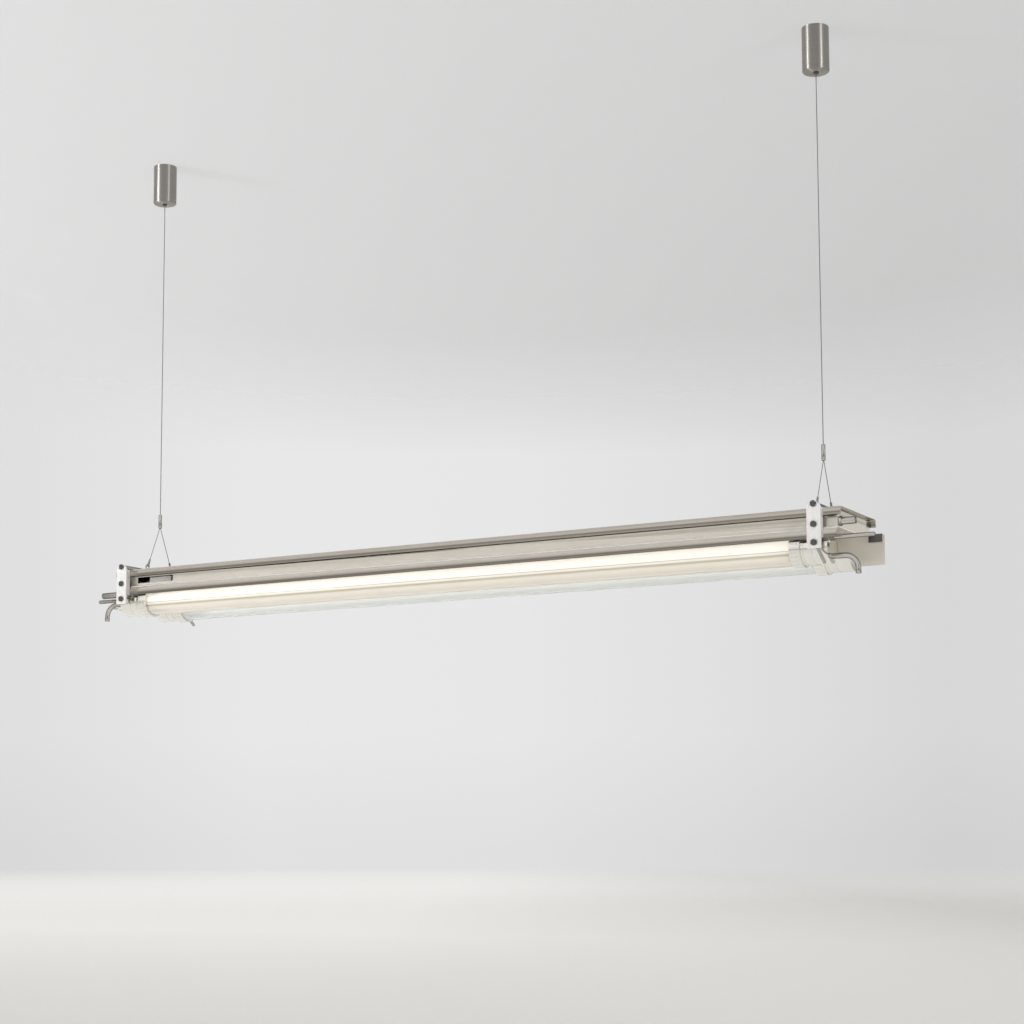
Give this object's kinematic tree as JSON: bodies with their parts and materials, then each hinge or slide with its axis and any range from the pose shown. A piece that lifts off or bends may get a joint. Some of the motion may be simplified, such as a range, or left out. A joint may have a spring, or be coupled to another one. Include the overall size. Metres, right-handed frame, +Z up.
{
  "type": "hanging strip light",
  "caption": "Hanging strip light: a polished sheet housing carries two lamps in glass tubes and hangs on two wires from ceiling cups.",
  "frame": {"origin": "in the ceiling plane, half way between the two ceiling screw holes", "axes": "+X along the light towards the end with the cable gland, +Z up, the service side faces -Y"},
  "size_m": [1.417, 0.1702, 0.823],
  "materials": {
    "brushed_cup": "brushed, fine lines along the cup",
    "dark_steel": "dark, satin",
    "steel_wire": "stranded, satin",
    "brushed_fitting": "satin",
    "polished_nickel": "polished, slightly warm",
    "bright_cap": "polished, pale",
    "warm_plate": "satin, warm",
    "bright_strap": "polished",
    "clear_glass": "faintly milky, gloss",
    "lamp_white": "lit, opal",
    "lamp_base": "satin",
    "brass": "satin",
    "holder_plastic": "moulded",
    "seal_rubber": "matt",
    "gear_paint": "satin",
    "terminal_plastic": "moulded",
    "wire_insulation": "matt"
  },
  "bodies": {
    "ceiling_mounting": {"ceiling_base_left": "brushed_cup", "ceiling_base_right": "brushed_cup"},
    "left_cup": {"ceiling_cup_left": "brushed_cup", "wire_gripper_left": "dark_steel"},
    "right_cup": {"ceiling_cup_right": "brushed_cup", "wire_gripper_right": "dark_steel"},
    "hanging_light": {"cable_left": "steel_wire", "cable_right": "steel_wire", "ferrule_left": "brushed_fitting", "ferrule_right": "brushed_fitting", "bridle_left": "steel_wire", "bridle_right": "steel_wire", "bridle_eyes": "brushed_fitting", "top_cover": "polished_nickel", "housing_tray": "polished_nickel", "housing_end_left": "polished_nickel", "housing_end_right": "polished_nickel", "strap_front_left": "bright_strap", "strap_front_right": "bright_strap", "strap_rear_left": "bright_strap", "strap_rear_right": "bright_strap", "strap_screws": "dark_steel", "tie_rods": "brushed_fitting", "web_nuts": "dark_steel", "glass_tube_front": "clear_glass", "glass_tube_rear": "clear_glass", "end_cap_front_left": "bright_cap", "end_cap_front_right": "bright_cap", "end_cap_rear_left": "bright_cap", "end_cap_rear_right": "bright_cap", "tube_seals": "seal_rubber", "lampholder_bodies": "holder_plastic", "grommets": "seal_rubber", "cable_gland_right": "brushed_fitting", "conduit_stub_left": "brushed_fitting", "spout_left": "brushed_fitting", "spout_right": "brushed_fitting", "earth_rod_left": "brushed_fitting", "earth_rod_right": "brushed_fitting", "end_plate_right": "warm_plate", "end_plate_fixings": "dark_steel", "end_pan_left": "bright_cap", "control_gear": "gear_paint", "terminal_block": "terminal_plastic", "terminal_screws": "brass", "inner_wires": "wire_insulation"},
    "front_left_ring": {"clamp_ring_front_left": "bright_cap"},
    "front_right_ring": {"clamp_ring_front_right": "bright_cap"},
    "rear_left_ring": {"clamp_ring_rear_left": "bright_cap"},
    "rear_right_ring": {"clamp_ring_rear_right": "bright_cap"},
    "front_lamp": {"lamp_front": "lamp_white", "lamp_bases_front": "lamp_base", "lamp_pins_front": "brass", "holder_rotors_front": "holder_plastic"},
    "rear_lamp": {"lamp_rear": "lamp_white", "lamp_bases_rear": "lamp_base", "lamp_pins_rear": "brass", "holder_rotors_rear": "holder_plastic"},
    "front_lever": {"lever_front_right": "brushed_fitting"},
    "rear_lever": {"lever_rear_left": "brushed_fitting"}
  },
  "joints": [
    {"name": "left_cup_turn", "type": "hinge", "parent": "ceiling_mounting", "child": "left_cup", "pos_m": [-0.612, 0, 0], "axis": [0, 0, 1], "range_deg": [0, 60]},
    {"name": "right_cup_turn", "type": "hinge", "parent": "ceiling_mounting", "child": "right_cup", "pos_m": [0.612, 0, 0], "axis": [0, 0, 1], "range_deg": [0, 60]},
    {"name": "light_swing", "type": "hinge", "parent": "ceiling_mounting", "child": "hanging_light", "pos_m": [0, 0, -0.07], "axis": [1, 0, 0], "range_deg": [-8, 8]},
    {"name": "front_left_ring_turn", "type": "hinge", "parent": "hanging_light", "child": "front_left_ring", "pos_m": [-0.592, -0.046, -0.784], "axis": [1, 0, 0], "range_deg": [0, 60]},
    {"name": "front_right_ring_turn", "type": "hinge", "parent": "hanging_light", "child": "front_right_ring", "pos_m": [0.592, -0.046, -0.784], "axis": [1, 0, 0], "range_deg": [0, 60]},
    {"name": "rear_left_ring_turn", "type": "hinge", "parent": "hanging_light", "child": "rear_left_ring", "pos_m": [-0.592, 0.046, -0.784], "axis": [1, 0, 0], "range_deg": [0, 60]},
    {"name": "rear_right_ring_turn", "type": "hinge", "parent": "hanging_light", "child": "rear_right_ring", "pos_m": [0.592, 0.046, -0.784], "axis": [1, 0, 0], "range_deg": [0, 60]},
    {"name": "front_lamp_turn", "type": "hinge", "parent": "hanging_light", "child": "front_lamp", "pos_m": [0, -0.046, -0.784], "axis": [1, 0, 0], "range_deg": [0, 90]},
    {"name": "rear_lamp_turn", "type": "hinge", "parent": "hanging_light", "child": "rear_lamp", "pos_m": [0, 0.046, -0.784], "axis": [1, 0, 0], "range_deg": [0, 90]},
    {"name": "front_lever_swing", "type": "hinge", "parent": "hanging_light", "child": "front_lever", "pos_m": [0.6265, -0.0772, -0.78], "axis": [0, 1, 0], "range_deg": [-60, 110]},
    {"name": "rear_lever_swing", "type": "hinge", "parent": "hanging_light", "child": "rear_lever", "pos_m": [-0.6265, 0.0772, -0.78], "axis": [0, 1, 0], "range_deg": [-42, 128]}
  ]
}
